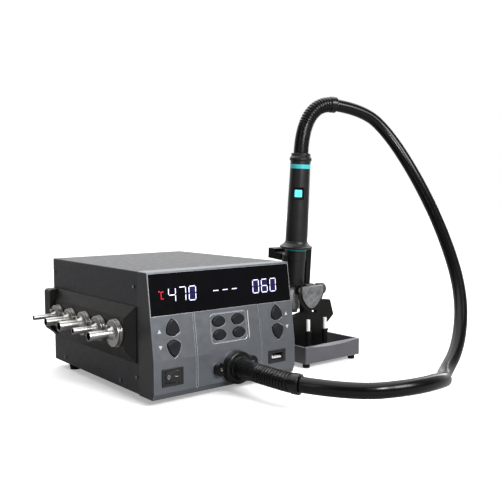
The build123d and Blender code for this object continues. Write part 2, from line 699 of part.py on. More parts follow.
def button_frame():
    frame = span_box((-7.6, 7.6), (-14.6, -10.2), (BUTTON_Z - 8, BUTTON_Z + 8))
    frame = fillet(frame.edges().filter_by(Axis.Y), 2.5)
    frame -= span_box((-5.1, 5.1), (-16, -11.4), (BUTTON_Z - 5.1, BUTTON_Z + 5.1))
    return tilted(Pos(AXIS_X, AXIS_Y, 0) * Rot(0, 0, BUTTON_AZ) * frame)


def handle_button():
    button = span_box((-4.75, 4.75), (-15.1, -12.3), (BUTTON_Z - 4.75, BUTTON_Z + 4.75))
    button = fillet(button.edges().filter_by(Axis.Y), 1)
    return tilted(Pos(AXIS_X, AXIS_Y, 0) * Rot(0, 0, BUTTON_AZ) * button)


def hand_guard():
    """Flared flange at the lower end of the grip."""
    z0, z1 = GUARD_Z
    return on_axis([(12.2, z0), (GUARD_R - 1, z0), (GUARD_R, z0 + 1), (GUARD_R, z0 + 2.6), (GUARD_R - 2.6, z0 + 4),
                    (GRIP_R[0] + 1.4, z0 + 7), (GRIP_R[0], z1), (12.2, z1)])


def lower_ring():
    return on_axis([(12.2, COVER_Z[1]), (COVER_R + 0.4, COVER_Z[1]), (COVER_R + 0.4, GUARD_Z[0]),
                    (12.2, GUARD_Z[0])])


def heater_cover():
    """Black sleeve with a step; its lower end stands in the cradle."""
    z0, z1 = COVER_Z
    return on_axis([(BARREL_R + 0.6, z0), (COVER_R - 0.8, z0), (COVER_R - 0.8, z0 + 31), (COVER_R, z0 + 31.6),
                    (COVER_R, z1), (12.2, z1), (12.2, z0 + 4), (BARREL_R + 0.6, z0 + 4)])


def heater_tube():
    """Steel tube inside the cover with a flange under the guard."""
    z0, z1 = COVER_Z
    return on_axis([(7.7, 0), (8.0, 0), (8.0, z1 + 4), (12.2, z1 + 4), (12.2, z1 + 10), (7.7, z1 + 10)])


def heater_core():
    """Ceramic core with its winding ribs."""
    profile = [(0.8, 8), (5.5, 8)]
    for n in range(6):
        z = 10 + n * 6
        profile += [(5.5, z), (6.6, z), (6.6, z + 3), (5.5, z + 3)]
    profile += [(5.5, 58), (0.8, 58)]
    core = turned(profile, AXIS_X, AXIS_Y)
    core += Pos(AXIS_X, AXIS_Y, 56) * Box(15.2, 2, 4)
    return tilted(core)


def fitted_nozzle():
    """Nozzle on the end of the heater tube, with its clamp ring and screw ear."""
    z0, z1 = BARREL_Z
    body = turned([(8.05, z1), (BARREL_R, z1), (BARREL_R, z0 + 15), (BARREL_R + 0.8, z0 + 15),
                   (BARREL_R + 0.8, z0 + 5), (BARREL_R - 1.2, z0 + 5), (BARREL_R - 2.2, z0),
                   (BARREL_R - 3.2, z0), (BARREL_R - 2.2, z0 + 6), (7.4, z0 + 16), (7.4, -0.6), (8.05, -0.6)],
                  AXIS_X, AXIS_Y)
    return tilted(body)


def upper_ring():
    z0, z1 = RING_Z
    return on_axis([(10, z0), (GRIP_R[1] + 0.25, z0), (GRIP_R[1] + 0.25, z1), (10, z1)])


def handle_collar():
    z0, z1 = COLLAR_Z
    return on_axis([(5.2, z0), (GRIP_R[1], z0), (GRIP_R[1], z0 + 4), (14.7, z0 + 6), (14.7, z0 + 8), (13.4, z0 + 10),
                    (12.7, z0 + 11), (12.9, z1 - 1), (12.4, z1), (5.2, z1)])


def boot_path():
    top = (TILT * Pos(AXIS_X, AXIS_Y, COLLAR_Z[1])).position
    mouth = Vector(*HOSE_ROUTE[-1])
    run = (Vector(*HOSE_ROUTE[-2]) - mouth).normalized()
    up = Vector(0, -math.sin(math.radians(LEAN_DEG)), math.cos(math.radians(LEAN_DEG)))
    back = (mouth.X - top.X) / run.X
    corner = mouth - run * back
    rise = (corner - top).dot(up)
    corner = top + up * rise
    return FilletPolyline(tuple(top), tuple(corner), tuple(mouth), radius=BOOT_BEND_R)


def handle_boot():
    """Bent strain relief from the collar to the mouth of the hose, with an end ring."""
    path = boot_path()
    start = Plane(origin=path @ 0, z_dir=path % 0)
    boot = sweep(start * Circle(BOOT_R), path)
    boot -= sweep(start * Circle(HOSE_BORE), path)
    end = Plane(origin=path @ 1, z_dir=-(path % 1))
    ring = end * Pos(0, 0, 3.5) * Cylinder(BOOT_R + 0.8, 7)
    ring -= end * Pos(0, 0, 3.5) * Cylinder(BOOT_R - 1, 9)
    outward = Vector(*HOSE_ROUTE[-2]) - Vector(*HOSE_ROUTE[-1])
    return boot + ring - rod(HOSE_ROUTE[-1], tuple(outward), BOOT_R * 2, 10)


def stand_base():
    """Folded tray with a thicker front wall whose top edge is dished."""
    tray = span_box(TRAY_X, TRAY_Y, TRAY_Z)
    inner_x = (TRAY_X[0] + TRAY_WALL, TRAY_X[1] - TRAY_WALL)
    inner_y = (TRAY_Y[0] + TRAY_FRONT, TRAY_Y[1] - TRAY_WALL)
    tray -= span_box(inner_x, inner_y, (TRAY_Z[0] + TRAY_WALL, TRAY_Z[1] + 1))
    tray = fillet(tray.edges().filter_by(Axis.Z).group_by(Axis.Y)[0], 2)
    half = (TRAY_X[1] - TRAY_X[0]) / 2 - DISH_INSET
    radius = (half ** 2 + TRAY_DISH ** 2) / (2 * TRAY_DISH)
    slope = math.atan2(TRAY_DISH, TRAY_FRONT - DISH_STRIP)
    up = Vector(0, -math.sin(slope), math.cos(slope))
    low = Vector(sum(TRAY_X) / 2, TRAY_Y[0], TRAY_Z[1] - TRAY_DISH)
    dish = Plane(origin=low + up * radius, z_dir=(0, math.cos(slope), math.sin(slope)))
    return tray - dish * Cylinder(radius, 4 * TRAY_FRONT)


def rubber_feet():
    """Four feet under the unit and four smaller ones under the stand."""
    group = []
    for x, y in ((12, 212), (UNIT_W - 12, 212), (34, 52), (UNIT_W - 34, 52)):
        group.append(cone((x, y, BASE_Z), (0, 0, -1), 8, 6.5, BASE_Z))
    for x in (TRAY_X[0] + 8, TRAY_X[1] - 8):
        for y in (TRAY_Y[0] + 8, TRAY_Y[1] - 8):
            group.append(rod((x, y, 0), (0, 0, 1), STAND_FOOT_R, TRAY_Z[0]))
    return Compound(children=group)


def post_screw_places():
    return [(x, y) for y in (66, 96) for x in (256, 300)]


def stand_post():
    """Foot plate, upright plate, side wing and the lug that carries the tilt pin."""
    floor = TRAY_Z[0] + TRAY_WALL
    y_back = PIVOT[1] + 9
    y_front = PIVOT[1] + 0.5
    post = span_box(POST_X, (48, 102), (floor, floor + 3))
    upright = [(POST_X[0], floor), (POST_X[1], floor), (POST_X[1], 44), (300, 56), (LUG_X[1], 60), (LUG_X[1], 84),
               (LUG_X[0], 84), (LUG_X[0], 60), (256, 56), (POST_X[0], 44)]
    post += front_outline(upright, y_front, y_back)
    post += rod((LUG_X[0], PIVOT[1], PIVOT[2]), (1, 0, 0), LUG_R, LUG_X[1] - LUG_X[0])
    post += span_box(LUG_X, (y_front, PIVOT[1] + 7), (80, 88))
    post += front_outline([(300, 60), (307.5, 75), (324.5, 73), (331, 52), (320.5, 43), (300, 36)],
                          y_front, y_back - 1)
    for x in PEGS_X:
        post += rod((x, PEGS_Y, floor + 3), (0, 0, 1), 3.6, COLUMN_TOP - floor - 3)
        post += rod((x, PEGS_Y, COLUMN_TOP - 2.5), (0, 0, 1), 4.6, 2.5)
    post -= rod((LUG_X[0] - 1, PIVOT[1], PIVOT[2]), (1, 0, 0), PIN_R + PIN_FIT, 40)
    for x, y in post_screw_places():
        post -= rod((x, y, floor - 1), (0, 0, 1), 1.6, 6)
    return post


def post_screws():
    group = []
    floor = TRAY_Z[0] + TRAY_WALL
    for x, y in post_screw_places():
        head = rod((x, y, floor + 3), (0, 0, 1), 3, 1.6)
        head -= span_box((x - 2, x + 2), (y - 0.4, y + 0.4), (floor + 4.1, floor + 6))
        group.append(head + rod((x, y, floor), (0, 0, 1), 1.5, 3))
    return Compound(children=group)


def stand_pegs():
    """Two bright pins on the dark columns at the front of the post."""
    group = []
    for x in PEGS_X:
        group.append(rod((x, PEGS_Y, COLUMN_TOP), (0, 0, 1), 2.4, 14.5))
    return Compound(children=group)


def shield_outline(grow):
    """Shield shape in (x, z) about the pivot: flat top, round belly to a narrow foot."""
    cx = AXIS_X
    right = [(cx + 18 + grow, 7.5), (cx + 17 + grow, -6 - grow * 0.3), (cx + 10 + grow * 0.8, -16.5 - grow * 0.8),
             (cx, -22 - grow)]
    left = [(2 * cx - x, z) for x, z in reversed(right[:-1])]
    top = Line((left[-1][0], 0, left[-1][1]), (right[0][0], 0, right[0][1]))
    curve = Spline(*[(x, 0, z) for x, z in right + left])
    return make_face([top, curve])


def cradle():
    """Open-fronted seat for the heater cover, bracket plate, cheeks, front plate and tail."""
    z0, z1 = SEAT_Z
    seat = turned([(SEAT_R, z0), (SEAT_OUT_R, z0), (SEAT_OUT_R, z1), (SEAT_R, z1)], AXIS_X, AXIS_Y)
    seat -= span_box((AXIS_X - 30, AXIS_X + 30), (AXIS_Y - 30, AXIS_Y - 1), (z0 + 3, z1 + 1))
    plate = span_box((AXIS_X - 18, AXIS_X + 18), (10.5, AXIS_Y + 4), (z0, COVER_Z[0]))
    plate += rod((AXIS_X, AXIS_Y, z0), (0, 0, 1), SEAT_OUT_R, COVER_Z[0] - z0)
    body = seat + plate
    for x0, x1 in ((CHEEKS_X[0], LUG_X[0] - LUG_GAP), (LUG_X[1] + LUG_GAP, CHEEKS_X[1])):
        body += span_box((x0, x1), (-9, CHEEK_BACK), (-7, COVER_Z[0]))
    body += extrude(Pos(0, -9, 0) * shield_outline(-0.8), amount=3, dir=(0, -1, 0))
    band = extrude(Pos(0, -9, 0) * shield_outline(4), amount=3, dir=(0, -1, 0))
    body += band & span_box((AXIS_X - 30, AXIS_X + 30), (-13, -8), (-40, BAND_TOP))
    strip_x = (AXIS_X + SEAT_R + 1, AXIS_X + SEAT_R + STRIP_REACH)
    body += span_box(strip_x, (AXIS_Y - 6, AXIS_Y + 1), (z0, CHEEK_TOP))
    tail = span_box((AXIS_X - 12, AXIS_X + 12), (AXIS_Y + 15.5, TAIL_BACK), (TAIL_Z[0], z1))
    tail += span_box((AXIS_X - 12, AXIS_X + 12), (AXIS_Y + TAIL_STEP, TAIL_BACK), TAIL_Z)
    body += tail
    body -= rod((AXIS_X, AXIS_Y, z0 - 1), (0, 0, 1), 10.5, 4.0)
    body -= span_box((LUG_X[0] - LUG_GAP, LUG_X[1] + LUG_GAP), (-9, 9), (-9.5, 8))
    body -= rod((AXIS_X, AXIS_Y, COVER_Z[0]), (0, 0, 1), SEAT_R, 60)
    body -= rod((AXIS_X - 30, 0, 0), (1, 0, 0), PIN_R, 60)
    return tilted(body)


def clamp_plate():
    """Bright shield-shaped plate on the cradle's front."""
    plate = extrude(Pos(0, -12, 0) * shield_outline(0), amount=SHIELD_T, dir=(0, -1, 0))
    return tilted(plate)


def tilt_pin():
    """Pivot pin through both cheeks and the lug, with a head at the left."""
    pin = rod((CHEEKS_X[0], 0, 0), (1, 0, 0), PIN_R, CHEEKS_X[1] - CHEEKS_X[0] + 10)
    pin += rod((CHEEKS_X[0] - 1.8, 0, 0), (1, 0, 0), 3.8, 1.8)
    return tilted(pin)


def tilt_knob():
    """Knurled knob on the right end of the pin, with a bright washer face."""
    x0 = CHEEKS_X[1] + 0.3
    knob = rod((x0, 0, 0), (1, 0, 0), 5, 2.2)
    knob += rod((x0 + 2.2, 0, 0), (1, 0, 0), 7.6, 10.5)
    for n in range(20):
        a = math.radians(n * 18)
        knob -= rod((x0 + 2.2, 7.9 * math.cos(a), 7.9 * math.sin(a)), (1, 0, 0), 0.7, 10.5)
    knob -= rod((x0 - 1, 0, 0), (1, 0, 0), PIN_R + PIN_FIT, 10.7)
    return tilted(knob)


def build():
    nodes = {
        "bottom_chassis": bottom_chassis(), "top_cover": top_cover(), "unit_screws": unit_screws(),
        "rear_panel": rear_panel(), "mains_inlet": mains_inlet(), "front_bezel": front_bezel(),
        "display_window": display_window(), "display_board": display_board(),
        "display_digits": display_digits(), "front_marks": front_marks(),
        "switch_frame": switch_frame(), "power_rocker": power_rocker(),
        "socket_shell": socket_shell(), "socket_tongue": socket_tongue(),
        "hose_gland": hose_gland(), "hose_cuff": hose_cuff(), "hose": hose(),
        "nozzle_rack": nozzle_rack(), "control_board": control_board(),
        "power_board": power_board(), "transformer": transformer(),
        "blower_housing": blower_housing(), "blower_motor": blower_motor(),
        "blower_impeller": blower_impeller(), "outlet_duct": outlet_duct(),
        "grip_front": grip_shell(True), "grip_rear": grip_shell(False), "button_frame": button_frame(),
        "handle_button": handle_button(), "hand_guard": hand_guard(), "lower_ring": lower_ring(),
        "heater_cover": heater_cover(), "heater_tube": heater_tube(), "heater_core": heater_core(),
        "fitted_nozzle": fitted_nozzle(), "upper_ring": upper_ring(), "handle_collar": handle_collar(),
        "handle_boot": handle_boot(), "stand_base": stand_base(), "rubber_feet": rubber_feet(),
        "stand_post": stand_post(), "post_screws": post_screws(), "stand_pegs": stand_pegs(),
        "cradle": cradle(), "clamp_plate": clamp_plate(),
        "tilt_pin": tilt_pin(), "tilt_knob": tilt_knob(),
    }
    for n in range(len(PRESET_AT)):
        nodes["preset_button_%d" % (n + 1)] = preset_button(n)
    for name in ARROW_AT:
        nodes[name] = arrow_button(name)
    for n in range(len(NOZZLE_Y)):
        nodes["nozzle_%d" % (n + 1)] = nozzle(n)
    return nodes


os.makedirs("parts", exist_ok=True)
for name, shape in build().items():
    export_step(Pos(*SHIFT) * shape, "parts/%s.step" % name)
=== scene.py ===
import json
import math
import bmesh
import bpy
from mathutils import Matrix, Vector

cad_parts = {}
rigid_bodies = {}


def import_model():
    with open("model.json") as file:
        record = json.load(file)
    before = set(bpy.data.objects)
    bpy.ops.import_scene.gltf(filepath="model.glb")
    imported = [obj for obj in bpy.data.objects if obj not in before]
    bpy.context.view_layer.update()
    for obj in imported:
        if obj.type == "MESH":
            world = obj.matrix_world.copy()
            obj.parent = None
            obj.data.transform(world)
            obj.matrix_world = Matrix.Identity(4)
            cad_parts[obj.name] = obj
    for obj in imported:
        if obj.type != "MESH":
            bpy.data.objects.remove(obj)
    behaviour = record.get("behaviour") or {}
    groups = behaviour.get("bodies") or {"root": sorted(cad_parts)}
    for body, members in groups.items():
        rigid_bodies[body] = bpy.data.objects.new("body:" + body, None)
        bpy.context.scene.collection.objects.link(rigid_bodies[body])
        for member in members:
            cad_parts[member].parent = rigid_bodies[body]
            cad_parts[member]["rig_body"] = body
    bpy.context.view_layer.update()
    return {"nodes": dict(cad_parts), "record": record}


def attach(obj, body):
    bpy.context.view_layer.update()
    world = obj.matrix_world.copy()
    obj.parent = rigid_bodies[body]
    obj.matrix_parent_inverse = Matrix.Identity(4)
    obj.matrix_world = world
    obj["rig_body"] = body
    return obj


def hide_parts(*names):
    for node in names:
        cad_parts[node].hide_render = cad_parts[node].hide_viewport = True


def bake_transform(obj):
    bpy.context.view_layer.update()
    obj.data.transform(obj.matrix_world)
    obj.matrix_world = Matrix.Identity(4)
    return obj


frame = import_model()

MM = 0.001
NODES = frame["nodes"]

# ---------------------------------------------------------------- drawing frames

# The bench frame has the unit's front left corner at x = 0, y = 0, as in the part's own drawing.
BENCH = Vector((-0.143, -0.071, 0.0))
BEND_Z = 47
LEAN = math.atan2(12.5, 90)
TILT = math.radians(4.5)
PIVOT = (0, 76, 90)
AXIS_X = 278
AXIS_Y = 23.4


def at(x, y, z):
    """A point given in bench millimetres, in metres of the shared frame."""
    return Vector((x, y, z)) * MM + BENCH


def bench_frame():
    """Millimetres of the bench frame."""
    return Matrix.Translation(BENCH) @ Matrix.Scale(MM, 4)


def face_frame():
    """Millimetres across, up and out of the leaning face, from its lower left corner."""
    sine = math.sin(LEAN)
    cosine = math.cos(LEAN)
    axes = Matrix(((1, 0, 0), (0, sine, -cosine), (0, cosine, sine))).to_4x4()
    return Matrix.Translation(at(0, 0, BEND_Z)) @ axes @ Matrix.Scale(MM, 4)


def handle_frame():
    """Millimetres about the handle's own axis, with the heights measured from the tilt pivot."""
    turn = Matrix.Rotation(TILT, 4, "X")
    return Matrix.Translation(at(*PIVOT)) @ turn @ Matrix.Scale(MM, 4)


# ---------------------------------------------------------------- camera and hose first

EYE = at(-345.1, -589.9, 208.3)
YAW = math.radians(38.4606)
PITCH = math.radians(4.0776)
ROLL = -0.004535
LENS = 49.553
SENSOR = 36
NEAR = 0.01


def add_camera():
    """Camera in front of the unit and to its left, looking slightly down."""
    level = math.cos(PITCH)
    ahead = Vector((math.sin(YAW) * level, math.cos(YAW) * level, -math.sin(PITCH)))
    right = ahead.cross(Vector((0, 0, 1))).normalized()
    up = right.cross(ahead)
    right, up = (right * math.cos(ROLL) + up * math.sin(ROLL), up * math.cos(ROLL) - right * math.sin(ROLL))
    camera = bpy.data.objects.new("camera", bpy.data.cameras.new("camera"))
    camera.data.lens = LENS
    camera.data.sensor_width = SENSOR
    camera.data.clip_start = NEAR
    axes = Matrix((right, up, -ahead)).transposed().to_4x4()
    camera.matrix_world = Matrix.Translation(EYE) @ axes
    bpy.context.scene.collection.objects.link(camera)
    bpy.context.scene.camera = camera


add_camera()

HOSE_R = 0.008
HOSE_ROUTE = [(-0.036, -0.170, 0.028), (-0.013, -0.221, 0.0265), (0.037, -0.251, 0.0295),
              (0.096, -0.246, 0.0275), (0.148, -0.201, 0.008), (0.213, -0.180, 0.034),
              (0.254, -0.154, 0.093), (0.274, -0.111, 0.165), (0.276, -0.0665, 0.237),
              (0.253, -0.035, 0.299), (0.219, -0.0195, 0.3303), (0.178, -0.0057, 0.335)]


def nurbs(name, points, resolution):
    """A smooth open curve with these control points."""
    data = bpy.data.curves.new(name, "CURVE")
    data.dimensions = "3D"
    data.resolution_u = resolution
    spline = data.splines.new("NURBS")
    spline.points.add(len(points) - 1)
    for control, place in zip(spline.points, points):
        control.co = (*place, 1)
    spline.order_u = 3
    spline.use_endpoint_u = True
    curve = bpy.data.objects.new(name, data)
    bpy.context.scene.collection.objects.link(curve)
    return curve


def line_points(points, resolution):
    """Points along the smooth curve of a list of control points."""
    curve = nurbs("line", points, resolution)
    bpy.context.view_layer.update()
    mesh = bpy.data.meshes.new_from_object(curve)
    found = [v.co.copy() for v in mesh.vertices]
    bpy.data.objects.remove(curve)
    bpy.data.meshes.remove(mesh)
    return found


# ---------------------------------------------------------------- materials

TONE_DETAIL = 5
FINE_DETAIL = 3
GLOW_DETAIL = 2
GLOW_SCALE = 180
PATCH_FINER = 4
BUMP_STRENGTH = 0.6
EDGE_SAMPLES = 4
SOFT_SAMPLES = 6
EDGE_DOT = (0.82, 0.985)
SHADED_SIDE_FROM = 0.75
SHADED_SIDE_TO = 0.92


def link(tree, source, target):
    tree.links.new(source, target)


def noise(tree, scale, detail, stretch=(1, 1, 1)):
    """Noise in object space, in cycles per metre, stretched along an axis."""
    place = tree.nodes.new("ShaderNodeTexCoord")
    mapping = tree.nodes.new("ShaderNodeMapping")
    mapping.inputs["Scale"].default_value = stretch
    texture = tree.nodes.new("ShaderNodeTexNoise")
    texture.inputs["Scale"].default_value = scale
    texture.inputs["Detail"].default_value = detail
    link(tree, place.outputs["Object"], mapping.inputs["Vector"])
    link(tree, mapping.outputs["Vector"], texture.inputs["Vector"])
    return texture.outputs["Fac"]


def ranged(tree, value, low, high, start=0.3, end=0.7):
    """A value mapped from start..end to low..high."""
    node = tree.nodes.new("ShaderNodeMapRange")
    node.inputs["From Min"].default_value = start
    node.inputs["From Max"].default_value = end
    node.inputs["To Min"].default_value = low
    node.inputs["To Max"].default_value = high
    link(tree, value, node.inputs["Value"])
    return node.outputs["Result"]


def mixed(tree, factor, first, second):
    """Two colours, or a colour and an output, mixed by a factor."""
    node = tree.nodes.new("ShaderNodeMix")
    node.data_type = "RGBA"
    link(tree, factor, node.inputs["Factor"])
    for socket, value in ((node.inputs["A"], first), (node.inputs["B"], second)):
        if isinstance(value, tuple):
            socket.default_value = (*value, 1)
        else:
            link(tree, value, socket)
    return node.outputs["Result"]


def edge_mask(tree, radius):
    """1 on outer edges and 0 on flats, from how far the rounded normal leans from the true one."""
    bevel = tree.nodes.new("ShaderNodeBevel")
    bevel.samples = EDGE_SAMPLES
    bevel.inputs["Radius"].default_value = radius
    true = tree.nodes.new("ShaderNodeNewGeometry")
    dot = tree.nodes.new("ShaderNodeVectorMath")
    dot.operation = "DOT_PRODUCT"
    link(tree, bevel.outputs["Normal"], dot.inputs[0])
    link(tree, true.outputs["True Normal"], dot.inputs[1])
    return ranged(tree, dot.outputs["Value"], 1, 0, *EDGE_DOT)


def finish(name, colour, rough, metallic=0.0, tone=0.12, tone_scale=40, grain=0.00004, grain_scale=2200,
           stretch=(1, 1, 1), rough_spread=0.05, wear_and_highlight=None, wear_and_highlight_radius=0.0008, specular=0.5,
           soft_edge=0.0005):
    """A material with a mottled colour, an uneven roughness, a fine bump, softened edges, and edges lightened
    as wear and painted highlight.
    """
    material = bpy.data.materials.new(name)
    material.use_nodes = True
    tree = material.node_tree
    shader = tree.nodes["Principled BSDF"]
    darker = tuple(c * (1 - tone) for c in colour)
    lighter = tuple(min(1, c * (1 + tone)) for c in colour)
    mottle = noise(tree, tone_scale, TONE_DETAIL, stretch)
    base = mixed(tree, ranged(tree, mottle, 0, 1), darker, lighter)
    # Edges mixed towards this colour: partly wear, partly painted highlight where light catches them.
    if wear_and_highlight:
        mask = edge_mask(tree, wear_and_highlight_radius)
        base = mixed(tree, mask, base, wear_and_highlight)
    link(tree, base, shader.inputs["Base Color"])
    shader.inputs["Metallic"].default_value = metallic
    shader.inputs["Specular IOR Level"].default_value = specular
    patches = noise(tree, tone_scale * PATCH_FINER, FINE_DETAIL, stretch)
    uneven = ranged(tree, patches, rough - rough_spread, rough + rough_spread)
    link(tree, uneven, shader.inputs["Roughness"])
    bump = tree.nodes.new("ShaderNodeBump")
    bump.inputs["Strength"].default_value = BUMP_STRENGTH
    bump.inputs["Distance"].default_value = grain
    link(tree, noise(tree, grain_scale, FINE_DETAIL, stretch), bump.inputs["Height"])
    if soft_edge:
        soft = tree.nodes.new("ShaderNodeBevel")
        soft.samples = SOFT_SAMPLES
        soft.inputs["Radius"].default_value = soft_edge
        link(tree, soft.outputs["Normal"], bump.inputs["Normal"])
    link(tree, bump.outputs["Normal"], shader.inputs["Normal"])
    return material


def glowing(name, colour, strength, base=(0.8, 0.8, 0.9)):
    """A lit bar whose brightness varies slightly along its length."""
    material = finish(name, base, 0.3, tone=0.05)
    tree = material.node_tree
    shader = tree.nodes["Principled BSDF"]
    dim = tuple(c * 0.85 for c in colour)
    along = ranged(tree, noise(tree, GLOW_SCALE, GLOW_DETAIL), 0, 1)
    link(tree, mixed(tree, along, dim, colour), shader.inputs["Emission Color"])
    shader.inputs["Emission Strength"].default_value = strength
    return material


def paint_side_shade(material, colour):
    """Painted shade: the moulding's faces that look left and right take this darker colour."""
    tree = material.node_tree
    shader = tree.nodes["Principled BSDF"]
    face = shader.inputs["Base Color"].links[0].from_socket
    normal = tree.nodes.new("ShaderNodeNewGeometry")
    parts = tree.nodes.new("ShaderNodeSeparateXYZ")
    size = tree.nodes.new("ShaderNodeMath")
    size.operation = "ABSOLUTE"
    link(tree, normal.outputs["Normal"], parts.inputs["Vector"])
    link(tree, parts.outputs["X"], size.inputs[0])
    # Painted shade mask: 1 on faces whose normal points left or right.
    side = ranged(tree, size.outputs["Value"], 0, 1, SHADED_SIDE_FROM, SHADED_SIDE_TO)
    with_side_shade = mixed(tree, side, face, colour)
    link(tree, with_side_shade, shader.inputs["Base Color"])
    return material


MATERIALS = {
    "painted_steel": finish("painted_steel", (0.022, 0.023, 0.027), 0.42, tone=0.10, grain=0.00006,
                            grain_scale=1700, wear_and_highlight=(0.07, 0.07, 0.08), specular=0.35),
    "chassis_steel": finish("chassis_steel", (0.03, 0.03, 0.034), 0.5, grain=0.00006, wear_and_highlight=(0.1, 0.1, 0.1)),
    # bezel_grey: its faces that look left and right are darkened as painted shade.
    "bezel_grey": paint_side_shade(finish("bezel_grey", (0.16, 0.172, 0.19), 0.36, metallic=0.65, tone=0.05,
                                      # Near-white edge colour: painted highlight along the bezel's edges and
                                      # hole chamfers.
                                      grain=0.00003, grain_scale=3200, wear_and_highlight=(0.85, 0.87, 0.9),
                                      wear_and_highlight_radius=0.0009), (0.055, 0.056, 0.058)),
    "gloss_black": finish("gloss_black", (0.003, 0.003, 0.004), 0.12, rough_spread=0.04, grain=0.000004,
                          grain_scale=300, specular=0.3),
    "display_light": glowing("display_light", (0.62, 0.58, 1.0), 1.25),
    "white_print": finish("white_print", (0.50, 0.50, 0.50), 0.6, tone=0.06),
    # edge_bright: the colour of the painted highlight strips by the button holes and the groove.
    "edge_bright": finish("edge_bright", (0.50, 0.51, 0.53), 0.32, metallic=0.4, tone=0.08),
    "key_black": finish("key_black", (0.009, 0.010, 0.013), 0.34, wear_and_highlight=(0.03, 0.03, 0.035), specular=0.3),
    "switch_black": finish("switch_black", (0.010, 0.010, 0.011), 0.30, wear_and_highlight=(0.05, 0.05, 0.05)),
    "steel_bright": finish("steel_bright", (0.40, 0.39, 0.375), 0.30, metallic=1, tone=0.08, tone_scale=60,
                           stretch=(1, 0.15, 0.15), grain=0.000001, grain_scale=1500, rough_spread=0.02),
    # Near white and barely metallic: a painted highlight standing in for the shine of bright metal parts in
    # shade.
    "pin_bright": finish("pin_bright", (0.92, 0.92, 0.91), 0.30, metallic=0.1, tone=0.05, grain=0.000002),
    "socket_steel": finish("socket_steel", (0.9, 0.9, 0.9), 0.3, metallic=0.3),
    "rubber_black": finish("rubber_black", (0.004, 0.004, 0.004), 0.28, tone=0.2, grain=0.000003,
                           specular=0.3),
    "rack_black": finish("rack_black", (0.010, 0.010, 0.009), 0.45, tone=0.15, grain=0.00007,
                         grain_scale=1500, wear_and_highlight=(0.03, 0.03, 0.03), wear_and_highlight_radius=0.001, specular=0.3),
    "board_green": finish("board_green", (0.02, 0.14, 0.06), 0.35, tone=0.2),
    "aluminium": finish("aluminium", (0.75, 0.76, 0.78), 0.35, metallic=1),
    "core_steel": finish("core_steel", (0.12, 0.11, 0.10), 0.5, metallic=0.6, stretch=(1, 30, 1)),
    "inner_plastic": finish("inner_plastic", (0.06, 0.06, 0.065), 0.5),
    "handle_black": finish("handle_black", (0.009, 0.0085, 0.0085), 0.38, tone=0.12, grain=0.00003,
                           grain_scale=1900, wear_and_highlight=(0.03, 0.03, 0.03), specular=0.4),
    "turquoise": finish("turquoise", (0.06, 0.50, 0.56), 0.35, tone=0.08),
    "turquoise_lit": glowing("turquoise_lit", (0.14, 0.80, 0.82), 0.55, base=(0.12, 0.70, 0.74)),
    "ceramic": finish("ceramic", (0.80, 0.76, 0.70), 0.6),
    "stand_grey": finish("stand_grey", (0.13, 0.13, 0.145), 0.36, metallic=0.35, tone=0.06, grain=0.00003,
                         wear_and_highlight=(0.42, 0.42, 0.43)),
    "stand_black": finish("stand_black", (0.005, 0.005, 0.0045), 0.38, tone=0.2, grain=0.00003,
                          wear_and_highlight=(0.05, 0.05, 0.05), specular=0.22),
    "shield_grey": finish("shield_grey", (0.32, 0.325, 0.33), 0.34, metallic=0.9, tone=0.35, tone_scale=180,
                          grain=0.00018, grain_scale=900, wear_and_highlight=(0.8, 0.8, 0.8)),
    "screw_steel": finish("screw_steel", (0.5, 0.5, 0.5), 0.35, metallic=1),
    # Light edge colour on the dark screws: a painted glint.
    "screw_dark": finish("screw_dark", (0.10, 0.10, 0.10), 0.25, metallic=1, wear_and_highlight=(0.5, 0.5, 0.5)),
    "knob_black": finish("knob_black", (0.015, 0.035, 0.028), 0.35, wear_and_highlight=(0.1, 0.16, 0.14)),
    "hose_black": finish("hose_black", (0.003, 0.003, 0.0035), 0.22, tone=0.2, tone_scale=60, grain=0.000001,
                         grain_scale=300, rough_spread=0.02, soft_edge=0, specular=0.24),
    "red_light": glowing("red_light", (1.0, 0.02, 0.06), 0.75, base=(0.3, 0.01, 0.02)),
    "blue_glow": glowing("blue_glow", (0.012, 0.008, 0.12), 0.6, base=(0.001, 0.001, 0.006)),
}

# The fitted nozzle and the stand's pegs take pin_bright, whose near-white colour is painted highlight.
OWN_FINISH = {"unit_screws": "screw_dark", "fitted_nozzle": "pin_bright", "stand_pegs": "pin_bright"}
SLOT_OF = {row["node"]: row["material_slot"] for row in frame["record"]["subparts"]}
for node, piece in NODES.items():
    piece.data.materials.clear()
    piece.data.materials.append(MATERIALS[OWN_FINISH.get(node, SLOT_OF[node])])

# ---------------------------------------------------------------- making pieces


def add_piece(name, mesh, slot, body, material=None):
    """A mesh as a piece that rides on a body and takes a slot's finish."""
    piece = bpy.data.objects.new(name, mesh)
    bpy.context.scene.collection.objects.link(piece)
    mesh.materials.clear()
    mesh.materials.append(MATERIALS[material or slot])
    if body:
        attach(piece, body)
    return piece


EDGE_SEGMENTS = 2
EDGE_ANGLE = math.radians(30)
WELD = 2e-6
ROUND_STEPS = 4


def softened(node, width):
    """A copy of a CAD node with its edges rounded, which stands for that node."""
    source = NODES[node]
    mesh = source.data.copy()
    shape = bmesh.new()
    shape.from_mesh(mesh)
    bmesh.ops.remove_doubles(shape, verts=shape.verts, dist=WELD)
    shape.to_mesh(mesh)
    shape.free()
    mesh.shade_smooth()
    piece = add_piece(node + "_finished", mesh, SLOT_OF[node], source["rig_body"])
    bevel = piece.modifiers.new("edges", "BEVEL")
    bevel.width = width * MM
    bevel.segments = EDGE_SEGMENTS
    bevel.limit_method = "ANGLE"
    bevel.angle_limit = EDGE_ANGLE
    bevel.harden_normals = True
    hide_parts(node)


